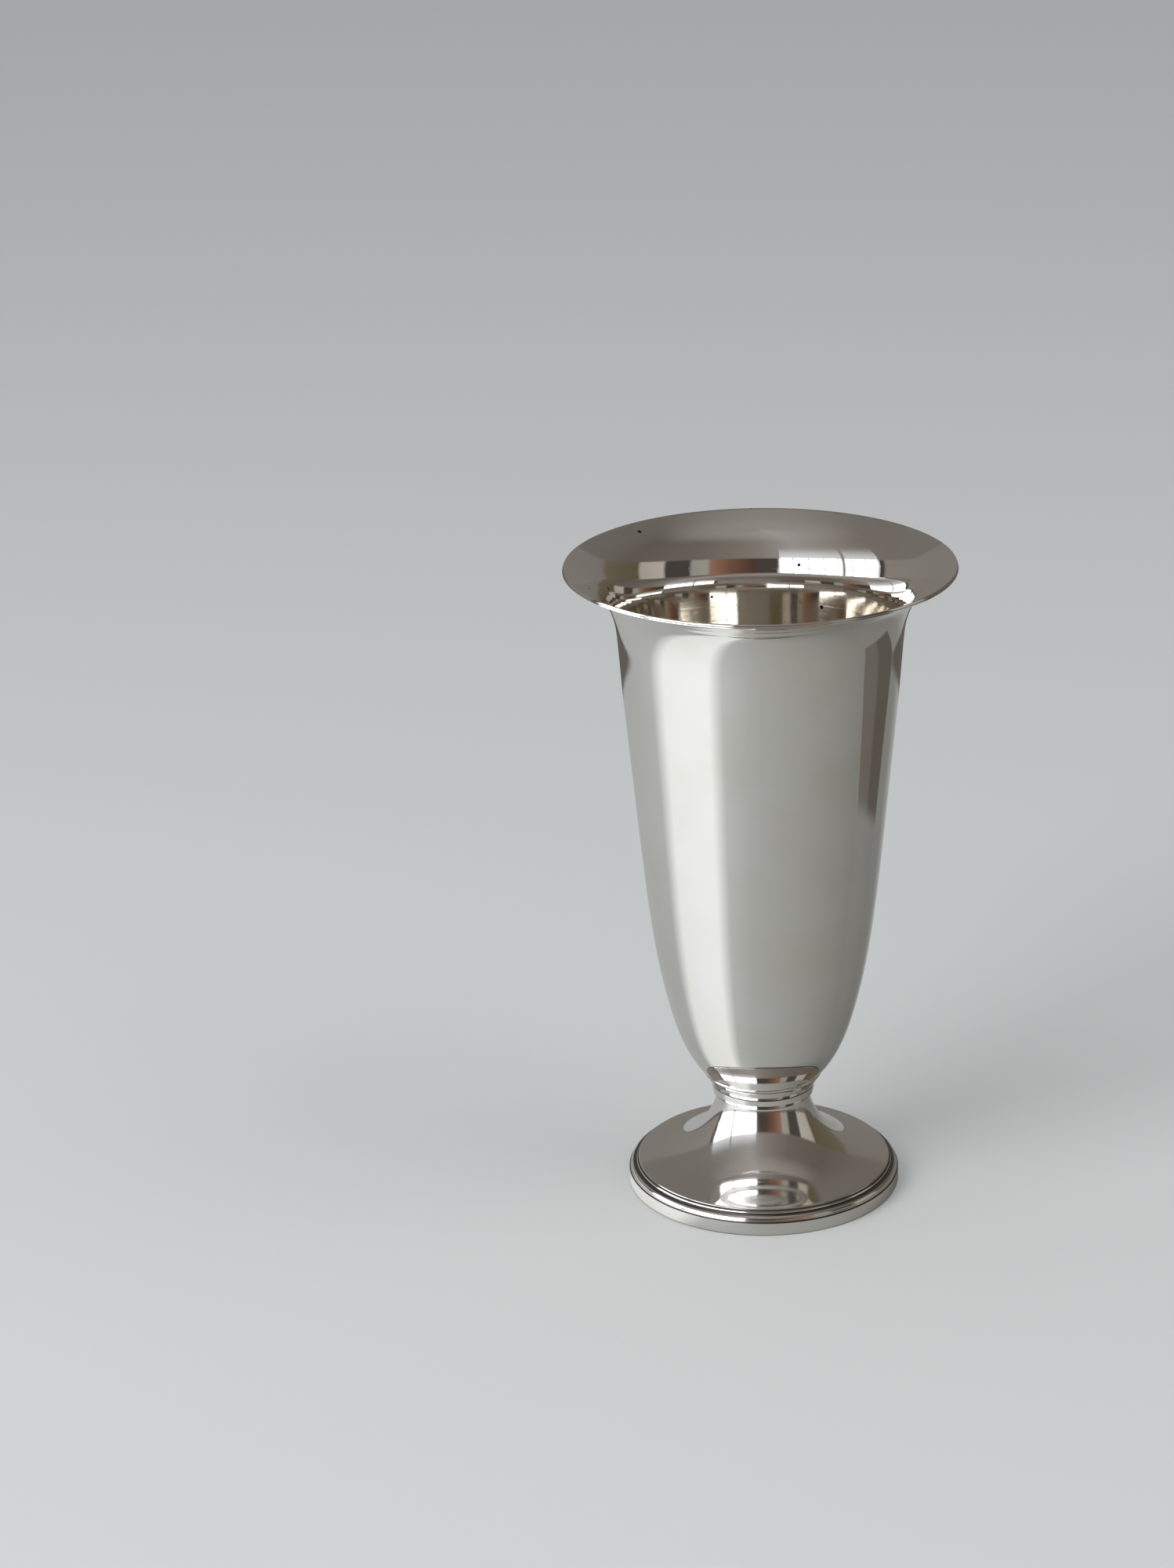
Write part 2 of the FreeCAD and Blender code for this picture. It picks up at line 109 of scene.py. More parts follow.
# The silver's finish. Scales are per metre, depths in metres.
SILVER_COLOUR = (0.935, 0.925, 0.905)
WARM_COLOUR = (0.80, 0.73, 0.62)
WARM_SCALE = 38.0
WARM_RANGE = (0.35, 0.75)
WARM_SHARE = 0.3
SPUN_WARM_SHARE = 0.2
SPUN_COLOUR = (0.60, 0.54, 0.45)
SPUN_SCALE = 1400.0
SPUN_RANGE = (0.45, 0.75)
SPUN_SHARE = 0.3
SPUN_DEPTH = 0.000006
# How little the turning marks change on the way round.
TURNED_ROUND = 0.0004
# Hairlines: how they change round the axis and along it, and their scale.
LONG_HAIRLINES = (0.0025, 1.0, 900.0)
SHORT_HAIRLINES = (0.04, 0.06, 700.0)
HAIRLINE_RANGE = (0.62, 0.7)
HAIRLINE_DEPTH = 0.000002
POLISH = (0.02, 0.05)
POLISH_SCALE = 90.0
POLISH_RANGE = (0.3, 0.75)
WEAR_SPREAD = 1.5
MARK_ROUGHNESS = 0.05
# Tarnish together with painted shade, darkening the silver at its creases.
TARNISH_AND_SHADE_COLOUR = (0.06, 0.05, 0.04)
TARNISH_AND_SHADE_SHARE = 0.85
TARNISH_AND_SHADE_ROUGHNESS = 0.25
SPECK_COLOUR = (0.035, 0.025, 0.02)
SPECK_SCALE = 140.0
SPECK_SIZE = 0.09
SPECK_RARITY = 0.58
SPECK_ROUGHNESS = 0.4
WAVE_SCALE = 55.0
WAVE_DEPTH = 0.00002
FOOT_WEAR = 0.045

# The other finishes: light and dark colour, roughness and the marks' change on the way round.
BRASS = ((0.80, 0.60, 0.30), (0.62, 0.44, 0.20), 0.25, TURNED_ROUND)
STEEL = ((0.55, 0.55, 0.55), (0.42, 0.42, 0.43), 0.35, 0.02)
METAL_SCALE = 120.0
METAL_MARK_SCALE = 1800.0
METAL_MARK_RANGE = (0.3, 0.7)
METAL_MARK_DEPTH = 0.00002
METAL_SPREAD = 0.15
PLASTER_COLOURS = ((0.60, 0.57, 0.51), (0.46, 0.43, 0.38))
PLASTER_SCALE = 150.0
PLASTER_ROUGHNESS = 0.9
PORE_SCALE = 500.0
PORE_DEPTH = 0.0002
FELT_COLOURS = ((0.028, 0.075, 0.045), (0.075, 0.17, 0.105))
FELT_PATCH = (0.10, 0.17, 0.12)
FELT_PATCH_SCALE = 90.0
FELT_PATCH_SHARE = 0.3
FIBRE_SCALE = 1600.0
FIBRE_DEPTH = 0.0003
FELT_ROUGHNESS = 0.95
FELT_SHEEN = 0.35
FELT_SHEEN_ROUGHNESS = 0.5

# The camera, fitted to the outlines in the photograph.
CAMERA_PLACE = (0.0, -1.0931, 0.5391)
CAMERA_YAW = -0.048066
CAMERA_PITCH = 0.357042
CAMERA_ROLL = -0.022969
CAMERA_LENS = 88.8
CAMERA_CLIP = 0.05
# The bowl mirrors itself many times over.
GLOSSY_BOUNCES = 10

FLOOR_RADIUS = 6.0
FLOOR_SIDES = 96
FLOOR_COLOUR = (0.575, 0.58, 0.57)
FLOOR_ROUGHNESS = 0.6
FLOOR_SHINE = 0.2


def measured(node):
    """Outer radius, lowest height and highest height of a turned node in millimetres."""
    low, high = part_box(node)
    return high[0] / MM, low[2] / MM, high[2] / MM


def spline_points(poles):
    """Points along a clamped cubic spline with evenly spaced knots, by de Boor's method."""
    spans = len(poles) - 3
    knots = [0.0] * 3 + [float(knot) for knot in range(spans + 1)] + [float(spans)] * 3
    points = []
    for step in range(spans * POINTS_PER_SPAN + 1):
        place = step / POINTS_PER_SPAN
        span = min(int(place), spans - 1) + 3
        work = [Vector(poles[span - 3 + index]) for index in range(4)]
        for level in range(1, 4):
            for index in range(3, level - 1, -1):
                start = knots[span - 3 + index]
                share = (place - start) / (knots[span + 1 + index - level] - start)
                work[index] = work[index - 1].lerp(work[index], share)
        points.append(work[3])
    return points


def arc_points(start, end, bulge):
    """Points on an arc that bulges to the left of its chord by a share of it, or to the right."""
    start, end = Vector(start), Vector(end)
    chord = end - start
    left = Vector((-chord.y, chord.x))
    radius_share = (0.25 + bulge**2) / (2 * abs(bulge))
    half_angle = math.asin(min(1.0, 0.5 / radius_share))
    side = math.copysign(1.0, bulge)
    centre = (start + end) / 2 + left * side * (abs(bulge) - radius_share)
    turn = -side * 2 * half_angle
    points = []
    for step in range(POINTS_PER_ARC + 1):
        spin = Matrix.Rotation(turn * step / POINTS_PER_ARC, 2)
        points.append(centre + spin @ (start - centre))
    return points


def rounded(outline, radius):
    """The outline with its sharp corners replaced by small curves."""
    points = [Vector(point) for point in outline]
    result = []
    for index, point in enumerate(points):
        before = points[index - 1] - point
        after = points[(index + 1) % len(points)] - point
        on_axis = point.x < TINY
        if on_axis or before.length < TINY or after.length < TINY:
            result.append(point)
            continue
        if before.angle(after) > math.pi - SHARP_ANGLE:
            result.append(point)
            continue
        reach = min(radius, CORNER_SHARE * before.length, CORNER_SHARE * after.length)
        first = point + before.normalized() * reach
        last = point + after.normalized() * reach
        for step in range(CORNER_POINTS):
            share = step / (CORNER_POINTS - 1)
            result.append(first.lerp(point, share).lerp(point.lerp(last, share), share))
    return result


def shifted(points, distance):
    """The line that runs at a distance to the left of a line of points."""
    result = []
    for index, point in enumerate(points):
        along = points[min(index + 1, len(points) - 1)] - points[max(index - 1, 0)]
        along.normalize()
        result.append(point + Vector((-along.y, along.x)) * distance)
    return result


def lathe(name, outline, materials, inner_from=None):
    """Turns a closed outline in millimetres about the vase's axis into a mesh object."""
    mesh = bpy.data.meshes.new(name)
    work = bmesh.new()
    rings = []
    for point in outline:
        if point[0] < TINY:
            rings.append([work.verts.new((0.0, 0.0, point[1] * MM))] * SEGMENTS)
            continue
        ring = []
        for step in range(SEGMENTS):
            angle = 2 * math.pi * step / SEGMENTS
            place = (point[0] * MM * math.cos(angle), point[0] * MM * math.sin(angle))
            ring.append(work.verts.new((*place, point[1] * MM)))
        rings.append(ring)
    for index, ring in enumerate(rings):
        following = rings[(index + 1) % len(rings)]
        inner = inner_from is not None and index >= inner_from
        for step in range(SEGMENTS):
            after = (step + 1) % SEGMENTS
            corners = []
            for corner in (ring[step], ring[after], following[after], following[step]):
                if corner not in corners:
                    corners.append(corner)
            if len(corners) > 2:
                work.faces.new(corners).material_index = int(inner)
    bmesh.ops.recalc_face_normals(work, faces=work.faces)
    work.to_mesh(mesh)
    work.free()
    mesh.shade_smooth()
    mesh.set_sharp_from_angle(angle=SHARP_ANGLE)
    for material in materials:
        mesh.materials.append(material)
    piece = bpy.data.objects.new(name, mesh)
    bpy.context.scene.collection.objects.link(piece)
    return piece


class Nodes:
    """A node tree with a short way to add nodes, set them and link them."""

    def __init__(self, owner):
        owner.use_nodes = True
        self.tree = owner.node_tree
        self.tree.nodes.clear()

    def add(self, kind, inputs=None, **settings):
        node = self.tree.nodes.new("ShaderNode" + kind)
        for name, value in settings.items():
            setattr(node, name, value)
        for name, value in (inputs or {}).items():
            if isinstance(value, bpy.types.Node):
                value = value.outputs[0]
            if isinstance(value, bpy.types.NodeSocket):
                self.tree.links.new(value, node.inputs[name])
            else:
                node.inputs[name].default_value = value
        return node

    def maths(self, operation, *values):
        return self.add("Math", dict(enumerate(values)), operation=operation)

    def between(self, value, low, high, first=0.0, last=1.0):
        """Goes smoothly from first to last while the value goes from low to high."""
        settings = {"Value": value, 1: low, 2: high, 3: first, 4: last}
        return self.add("MapRange", settings, interpolation_type="SMOOTHSTEP")

    def ramp(self, factor, stops):
        node = self.add("ValToRGB", {0: factor})
        elements = node.color_ramp.elements
        elements.remove(elements[1])
        elements[0].position = stops[0][0]
        elements[0].color = (*stops[0][1], 1.0)
        for position, colour in stops[1:]:
            elements.new(position).color = (*colour, 1.0)
        return node

    def blend(self, factor, first, second):
        inputs = {0: factor}
        for name, colour in ((6, first), (7, second)):
            inputs[name] = (*colour, 1.0) if isinstance(colour, tuple) else colour
        node = self.add("Mix", inputs, data_type="RGBA")
        return node.outputs[2]

    def noise(self, vector, scale, detail=2.0, roughness=0.5):
        inputs = {"Vector": vector, "Scale": scale, "Detail": detail, "Roughness": roughness}
        return self.add("TexNoise", inputs)


def turned_place(nodes):
    """The point's angle round the axis, its radius and its height."""
    place = nodes.add("TexCoord").outputs["Object"]
    split = nodes.add("SeparateXYZ", {0: place})
    angle = nodes.maths("ARCTAN2", split.outputs[1], split.outputs[0])
    across = nodes.add("CombineXYZ", {0: split.outputs[0], 1: split.outputs[1]})
    radius = nodes.add("VectorMath", {0: across}, operation="LENGTH").outputs["Value"]
    return place, angle, radius, split.outputs[2]


def scratches(nodes, angle, radius, height, round_share, along_share, scale):
    """Fine hairlines: noise drawn out along one direction, of which only the peaks show."""
    stretched = nodes.add(
        "CombineXYZ",
        {
            0: nodes.maths("MULTIPLY", angle, round_share),
            1: nodes.maths("MULTIPLY", height, along_share),
            2: radius,
        },
    )
    return nodes.between(nodes.noise(stretched, scale, 3.0), *HAIRLINE_RANGE)


def silver(name, worn=0.0, creases=(), spun_below=None, specks=False):
    """Mirror-polished silver with a slight unevenness, hairlines and a little tarnish.

    Tarnish and painted shade sit in the creases, at the given heights in millimetres. Below the
    other given height the silver keeps its spinning marks and is warmer. Specks are small dark
    spots.
    """
    material = bpy.data.materials.new(name)
    nodes = Nodes(material)
    place, angle, radius, height = turned_place(nodes)
    depth = 0.0
    if spun_below is not None:
        depth = nodes.between(height, (spun_below - SPUN_FADE) * MM, spun_below * MM, 1.0, 0.0)

    cloud = nodes.between(nodes.noise(place, WARM_SCALE, 3.0), *WARM_RANGE)
    warm = nodes.maths("MULTIPLY", cloud, WARM_SHARE)
    warm = nodes.maths("MULTIPLY_ADD", depth, SPUN_WARM_SHARE, warm)
    colour = nodes.blend(warm, SILVER_COLOUR, WARM_COLOUR)

    rings = nodes.add(
        "CombineXYZ", {0: nodes.maths("MULTIPLY", angle, TURNED_ROUND), 1: radius, 2: height}
    )
    rings = nodes.maths("MULTIPLY", nodes.noise(rings, SPUN_SCALE, 4.0, 0.7), depth)
    marks = nodes.maths("MULTIPLY", nodes.between(rings, *SPUN_RANGE), SPUN_SHARE)
    colour = nodes.blend(marks, colour, SPUN_COLOUR)
    lines = nodes.maths(
        "MAXIMUM",
        scratches(nodes, angle, radius, height, *LONG_HAIRLINES),
        scratches(nodes, angle, radius, height, *SHORT_HAIRLINES),
    )
    uneven = nodes.noise(place, POLISH_SCALE, 4.0)
    smoothest, roughest = POLISH[0] + worn, POLISH[1] + WEAR_SPREAD * worn
    roughness = nodes.between(uneven, *POLISH_RANGE, smoothest, roughest)
    roughness = nodes.maths("MULTIPLY_ADD", lines, MARK_ROUGHNESS, roughness)
    roughness = nodes.maths("MULTIPLY_ADD", rings, MARK_ROUGHNESS, roughness)
    # At each crease the colour darkens: tarnish together with painted shade.
    for crease in creases:
        away = nodes.maths("ABSOLUTE", nodes.maths("SUBTRACT", height, crease * MM))
        reach = CREASE_REACH * MM
        tarnish_and_shade = nodes.between(away, 0.5 * reach, reach, TARNISH_AND_SHADE_SHARE, 0.0)
        colour = nodes.blend(tarnish_and_shade, colour, TARNISH_AND_SHADE_COLOUR)
        roughness = nodes.maths("MULTIPLY_ADD", tarnish_and_shade, TARNISH_AND_SHADE_ROUGHNESS, roughness)
    if specks:
        cells = nodes.add("TexVoronoi", {"Vector": place, "Scale": SPECK_SCALE})
        chosen = nodes.add("SeparateXYZ", {0: cells.outputs["Color"]})
        spot = nodes.maths("LESS_THAN", cells.outputs["Distance"], SPECK_SIZE)
        spot = nodes.maths("MULTIPLY", spot, nodes.maths("GREATER_THAN", chosen, SPECK_RARITY))
        colour = nodes.blend(spot, colour, SPECK_COLOUR)
        roughness = nodes.maths("MULTIPLY_ADD", spot, SPECK_ROUGHNESS, roughness)

    swell = nodes.noise(place, WAVE_SCALE, 1.0)
    wave = nodes.add("Bump", {"Height": swell, "Distance": WAVE_DEPTH})
    ripple = nodes.add("Bump", {"Height": rings, "Distance": SPUN_DEPTH, "Normal": wave})
    hair = nodes.add("Bump", {"Height": lines, "Distance": -HAIRLINE_DEPTH, "Normal": ripple})
    shader = nodes.add(
        "BsdfPrincipled",
        {"Base Color": colour, "Metallic": 1.0, "Roughness": roughness, "Normal": hair},
    )
    nodes.add("OutputMaterial", {"Surface": shader})
    return material


def plain_metal(name, light, dark, roughness, turned_share):
    """Duller metal: fine turning or rolling marks over a two-toned colour."""
    material = bpy.data.materials.new(name)
    nodes = Nodes(material)
    place, angle, radius, height = turned_place(nodes)
    marks = nodes.add(
        "CombineXYZ", {0: nodes.maths("MULTIPLY", angle, turned_share), 1: radius, 2: height}
    )
    marks = nodes.noise(marks, METAL_MARK_SCALE, 3.0)
    colour = nodes.blend(nodes.noise(place, METAL_SCALE, 4.0), light, dark)
    bump = nodes.add("Bump", {"Height": marks, "Distance": METAL_MARK_DEPTH})
    roughest = roughness + METAL_SPREAD
    shader = nodes.add(
        "BsdfPrincipled",
        {
            "Base Color": colour,
            "Metallic": 1.0,
            "Roughness": nodes.between(marks, *METAL_MARK_RANGE, roughness, roughest),
            "Normal": bump,
        },
    )
    nodes.add("OutputMaterial", {"Surface": shader})
    return material


def plaster():
    """Cast plaster: matt, with small pores."""
    material = bpy.data.materials.new("cast plaster")
    nodes = Nodes(material)
    place = nodes.add("TexCoord").outputs["Object"]
    colour = nodes.blend(nodes.noise(place, PLASTER_SCALE, 5.0), *PLASTER_COLOURS)
    pores = nodes.add("TexVoronoi", {"Vector": place, "Scale": PORE_SCALE})
    bump = nodes.add("Bump", {"Height": pores.outputs["Distance"], "Distance": PORE_DEPTH})
    shader = nodes.add(
        "BsdfPrincipled",
        {"Base Color": colour, "Roughness": PLASTER_ROUGHNESS, "Normal": bump},
    )
    nodes.add("OutputMaterial", {"Surface": shader})
    return material


def felt():
    """Dark green felt: matted fibres in all directions and a soft sheen."""
    material = bpy.data.materials.new("green felt")
    nodes = Nodes(material)
    place = nodes.add("TexCoord").outputs["Object"]
    fibres = nodes.noise(place, FIBRE_SCALE, 6.0, 0.75)
    patches = nodes.noise(place, FELT_PATCH_SCALE, 3.0)
    patches = nodes.maths("MULTIPLY", patches, FELT_PATCH_SHARE)
    colour = nodes.blend(fibres, *FELT_COLOURS)
    colour = nodes.blend(patches, colour, FELT_PATCH)
    bump = nodes.add("Bump", {"Height": fibres, "Distance": FIBRE_DEPTH})
    shader = nodes.add(
        "BsdfPrincipled",
        {
            "Base Color": colour,
            "Roughness": FELT_ROUGHNESS,
            "Sheen Weight": FELT_SHEEN,
            "Sheen Roughness": FELT_SHEEN_ROUGHNESS,
            "Normal": bump,
        },
    )
    nodes.add("OutputMaterial", {"Surface": shader})
    return material


# The turned silver pieces. Outlines run in millimetres as (radius, height).


def bowl_line():
    """The bowl's outer line from the edge of its flat bottom to the edge of the mouth."""
    mouth_radius, bottom, _ = measured("bowl_shell")
    throat = bottom + BODY_HEIGHT
    poles = [(FLAT_RADIUS, bottom)]
    for across, up in BODY_SHARES:
        poles.append((THROAT_RADIUS * across, bottom + BODY_HEIGHT * up))
    reach = mouth_radius - THROAT_RADIUS
    for across, up in FLARE_SHARES:
        poles.append((THROAT_RADIUS + reach * across, throat + FLARE_HEIGHT * up))
    return spline_points(poles)


def make_bowl(outside, inside):
    outer = bowl_line()
    inner = shifted(outer, BOWL_WALL)
    bottom = outer[0].y
    outline = rounded(
        [(0.0, bottom)] + outer + inner[::-1] + [(0.0, bottom + BOWL_WALL)], 2 * EDGE_SOFTENING
    )
    # The inside starts after the point on the axis, the outer line and the mouth's corner.
    first_inner = 1 + len(outer) + CORNER_POINTS
    bowl = lathe("silver_bowl", outline, [outside, inside], inner_from=first_inner)
    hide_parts("bowl_shell")
    return bowl


def make_rim_wire(material):
    """The half-round wire, seated against the underside of the mouth."""
    brim, mouth = bowl_line()[-2:]
    back = (brim - mouth).normalized()
    down = Vector((-back.y, back.x))
    if down.y > 0:
        down = -down
    start = mouth + back * EDGE_SOFTENING
    end = mouth + back * WIRE_WIDTH
    outline = [start, end]
    outline += arc_points(end + down * WIRE_DEPTH, start + down * WIRE_DEPTH, WIRE_ROUND_SHARE)
    wire = lathe("silver_rim_wire", rounded(outline, EDGE_SOFTENING), [material])
    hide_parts("rim_wire")
    return wire


def make_upper_ring(material):
    radius, rim, top = measured("upper_collar_ring")
    collar_radius = measured("collar")[0]
    underside = top - RING_HEIGHT
    edge = radius - RING_TAPER
    outline = [(collar_radius - COLLAR_LAND, rim), (collar_radius, rim)]
    outline += [(edge - RING_LAND, underside)]
    outline += arc_points((edge, underside), (radius, top), -FLAT_ROUND_SHARE)
    outline += [(collar_radius, top)]
    ring = lathe("silver_upper_ring", rounded(outline, EDGE_SOFTENING), [material])
    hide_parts("upper_collar_ring")
    return ring


def make_collar(material):
    """The collar's waist, from the lower ring up to its rim."""
    radius, _, rim = measured("collar")
    foot_top = measured("foot_shell")[2]
    shoulder_radius = measured("lower_collar_ring")[0]
    shoulder = foot_top + SHOULDER_HEIGHT
    ring_bore = shoulder_radius - 2 * LOWER_RING_TAPER
    stud = measured("bowl_stud")[0] + 2 * EDGE_SOFTENING
    bottom = measured("bowl_shell")[1]
    outline = [
        (stud, bottom),
        (stud, foot_top),
        (ring_bore, foot_top),
        (ring_bore, shoulder),
        (shoulder_radius, shoulder),
        (radius, rim),
        (radius - BOWL_WALL, rim),
        (radius - 3 * BOWL_WALL, bottom),
    ]
    collar = lathe("silver_collar", rounded(outline, EDGE_SOFTENING), [material])
    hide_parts("collar")
    return collar


def make_lower_ring(material):
    radius, underside, shoulder = measured("lower_collar_ring")
    edge = radius - LOWER_RING_TAPER
    bore = radius - 2 * LOWER_RING_TAPER
    outline = [(bore, shoulder), (bore, underside)]
    outline += arc_points((edge, underside), (radius, shoulder), -FLAT_ROUND_SHARE)
    ring = lathe("silver_lower_ring", rounded(outline, EDGE_SOFTENING), [material])
    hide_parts("lower_collar_ring")
    return ring


def make_foot(material):
    """The spun foot: stem, dome and turned-down edge."""
    dome_radius, seat, foot_top = measured("foot_shell")
    lower_ring_radius = measured("lower_collar_ring")[0]
    stem = lower_ring_radius - LOWER_RING_TAPER - STEM_INSET
    dome_top = seat + DOME_EDGE
    rise = foot_top - dome_top
    plate = foot_top - FOOT_WALL
    poles = [(dome_radius - DOME_SOFTENING, dome_top)]
    for across, up in FOOT_SHARES:
        poles.append((stem + (dome_radius - stem) * across, dome_top + rise * up))
    poles.append((stem, plate))
    line = spline_points(poles)
    edge = arc_points((dome_radius, dome_top - DOME_SOFTENING), poles[0], -SOFT_ROUND_SHARE)
    shoulder = arc_points(poles[-1], (stem - FOOT_WALL, foot_top), -QUARTER_ROUND_SHARE)
    inside = shifted(line, FOOT_WALL)[::-1]
    bore = measured("stud_washer")[0] - FOOT_WALL
    outline = edge[:-1] + line + shoulder[1:] + [Vector((bore, foot_top)), Vector((bore, plate))]
    outline += inside + [Vector((dome_radius - FOOT_WALL, seat)), Vector((dome_radius, seat))]
    foot = lathe("silver_foot", rounded(outline, EDGE_SOFTENING), [material])
    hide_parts("foot_shell")
    return foot


def make_moulding(material):
    """The bead and the rounded part of the foot's border."""
    radius, floor, top = measured("border_moulding")
    dome_radius, seat, _ = measured("foot_shell")
    bead_foot = top - BEAD_HEIGHT
    ovolo_foot = bead_foot - OVOLO_HEIGHT
    fillet = radius - FILLET_REACH
    ovolo = fillet - FILLET_REACH
    bore = ovolo - OVOLO_REACH - BEAD_STEP - BEAD_REACH
    flange = dome_radius - 2 * FOOT_WALL
    outline = [(flange, floor), (radius, floor), (fillet, ovolo_foot)]
    outline += arc_points(
        (ovolo, ovolo_foot), (ovolo - OVOLO_REACH, bead_foot), -QUARTER_ROUND_SHARE
    )
    outline += arc_points((bore + BEAD_REACH, bead_foot), (bore, top), -QUARTER_ROUND_SHARE)
    outline += [(bore, seat), (flange, seat)]
    moulding = lathe("silver_moulding", rounded(outline, EDGE_SOFTENING), [material])
    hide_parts("border_moulding")
    return moulding


def make_band(material):
    """The plain band that the vase rests on."""
    radius, floor, top = measured("foot_band")
    bore = measured("felt_disc")[0]
    outline = [(bore, floor), (radius, floor), (radius, top), (bore, top)]
    band = lathe("silver_band", rounded(outline, 2 * EDGE_SOFTENING), [material])
    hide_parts("foot_band")
    return band


def make_felt(material):
    """The felt under the foot, with a soft edge and a faintly uneven face."""
    radius, floor, top = measured("felt_disc")
    outline = [(0.0, top), (radius, top), (radius, floor)]
    for step in range(FELT_RINGS - 1, 0, -1):
        dent = 0.5 * EDGE_SOFTENING * (1 + math.sin(step * FELT_WAVE))
        outline.append((radius * step / FELT_RINGS, floor + dent))
    outline.append((0.0, floor))
    disc = lathe("green_felt", rounded(outline, FELT_SOFTENING), [material])
    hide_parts("felt_disc")
    return disc


def dress_inner_nodes():
    """Gives the pieces inside the foot their own materials on their CAD meshes."""
    brass = plain_metal("turned brass", *BRASS)
    dressing = {
        "bowl_stud": brass,
        "stud_washer": brass,
        "stud_nut": brass,
        "base_plate": plain_metal("rolled steel", *STEEL),
        "foot_filler": plaster(),
    }
    for node, material in dressing.items():
        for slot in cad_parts[node].material_slots:
            slot.material = material


# The stage: floor, surroundings, lamps and camera.

# What stands round the table, from straight behind it round by the left, the front and the
# right: angle in degrees from the front, positive to the right, and colour.
PANEL = (3.2, 3.25, 3.3)
FLAG = (0.06, 0.05, 0.045)
SURROUNDINGS = (
    (-180, (0.20, 0.185, 0.168)),
    (-113, (0.24, 0.22, 0.20)),
    (-110, FLAG),
    (-106, FLAG),
    (-104, PANEL),
    (-73, PANEL),
    (-71.5, FLAG),
    (-69.5, FLAG),
    (-68, PANEL),
    (-18, PANEL),
    (-15, FLAG),
    (2, FLAG),
    (5, (0.08, 0.04, 0.03)),
    (24, (0.15, 0.08, 0.055)),
    (40, (0.27, 0.14, 0.095)),
    (43, (0.30, 0.305, 0.265)),
    (56, (0.27, 0.275, 0.235)),
    (59, FLAG),
    (80, FLAG),
    (83, (0.42, 0.39, 0.345)),
    (106, (0.36, 0.33, 0.29)),
    (109, (0.10, 0.085, 0.05)),
    (146, (0.13, 0.11, 0.075)),
    (152, (0.18, 0.165, 0.15)),
    (180, (0.20, 0.185, 0.168)),
)
PANEL_TOP = 0.46
PANEL_TOP_BLUR = 0.02
# The brightness over which a colour of the table above counts as a panel.
PANEL_LIGHT = (0.8, 1.2)
# The panels' thin dark bars: spacing and edges, upright ones in degrees round the table, level
# ones in rise. The starts, in radians and in rise, keep both above zero.
BAR_COLOUR = (0.3, 0.3, 0.3)
BAR_LIGHT = 0.04
UPRIGHT_START = 10.0
UPRIGHT_SPACING = 6.5
UPRIGHT_EDGES = (0.3, 0.6)
LEVEL_START = 1.0
LEVEL_SPACING = 0.09
LEVEL_EDGES = (0.003, 0.007)
# What is above that: lighter over the panels, darker over the right side.
UPPER_ROOM = (
    (-180, (0.165, 0.15, 0.136)),
    (-110, (0.185, 0.168, 0.153)),
    (-65, (0.25, 0.235, 0.215)),
    (-30, (0.31, 0.295, 0.28)),
    (0, (0.22, 0.20, 0.182)),
    (25, (0.18, 0.16, 0.142)),
    (55, (0.14, 0.124, 0.108)),
    (120, (0.115, 0.10, 0.085)),
    (180, (0.165, 0.15, 0.136)),
)
CEILING = (0.36, 0.335, 0.315)
CEILING_RISE = (0.8, 1.0)
CEILING_SHARE = 0.6
# The panels' glow on what is above them.
GLOW = (0.92, 0.95, 1.0)
GLOW_REACH = 0.26
GLOW_SHARE = 0.6
# What matt surfaces see all round.
PLAIN_LIGHT = (0.62, 0.64, 0.66)
# The floor as the silver mirrors it, with painted light: a painted sheen below the panels, and
# painted shade that is darkest on the right.
MIRRORED_FLOOR_SHEEN_AND_SHADE = (
    (-180, (0.42, 0.42, 0.407)),
    (-98, (0.42, 0.42, 0.407)),
    (-84, (0.80, 0.80, 0.78)),
    (-42, (0.80, 0.80, 0.78)),
    (-30, (0.42, 0.42, 0.403)),
    (-10, (0.36, 0.36, 0.343)),
    (40, (0.29, 0.285, 0.264)),
    (90, (0.21, 0.206, 0.187)),
    (140, (0.24, 0.236, 0.22)),
    (158, (0.38, 0.376, 0.36)),
    (180, (0.42, 0.42, 0.407)),
)
# Between these angles the table ends nearer to the vase than elsewhere.
NEAR_EDGE = (88, 94, 124, 130)
TABLE_EDGE = 0.44
TABLE_EDGE_BLUR = 0.02
NEAR_EDGE_SHIFT = 0.17
# Beyond the table's edge the floor glows in the silver, though it is no lamp: a painted
# reflection of the room, dimmed towards this dark colour by this share.
BEYOND_GLOW_COLOUR = (0.10, 0.09, 0.08)
BEYOND_GLOW_SHARE = 0.85
# Name, place, the point that it faces, width and height, power in watts, and colour.
LAMPS = (
    ("window", (-1.3, -1.1, 1.1), (0.0, 0.0, 0.08), (1.3, 1.1), 26.0, (0.97, 0.985, 1.0)),
    ("fill", (1.2, -0.4, 1.4), (0.0, 0.0, 0.05), (1.2, 1.2), 7.0, (1.0, 0.99, 0.97)),
)


def facing(nodes, direction):
    """The angle of a direction round the table, 0 to the front, and its rise."""
    split = nodes.add("SeparateXYZ", {0: direction})
    front = nodes.maths("MULTIPLY", split.outputs[1], -1.0)
    return nodes.maths("ARCTAN2", split.outputs[0], front), split.outputs[2]


def by_angle(nodes, angle, table):
    """The colour that a table of degrees gives for an angle round the table."""
    place = nodes.maths("MULTIPLY_ADD", angle, 0.5 / math.pi, 0.5)
    ramp = nodes.ramp(place, [(degrees / 360 + 0.5, colour) for degrees, colour in table])
    return ramp.outputs[0]


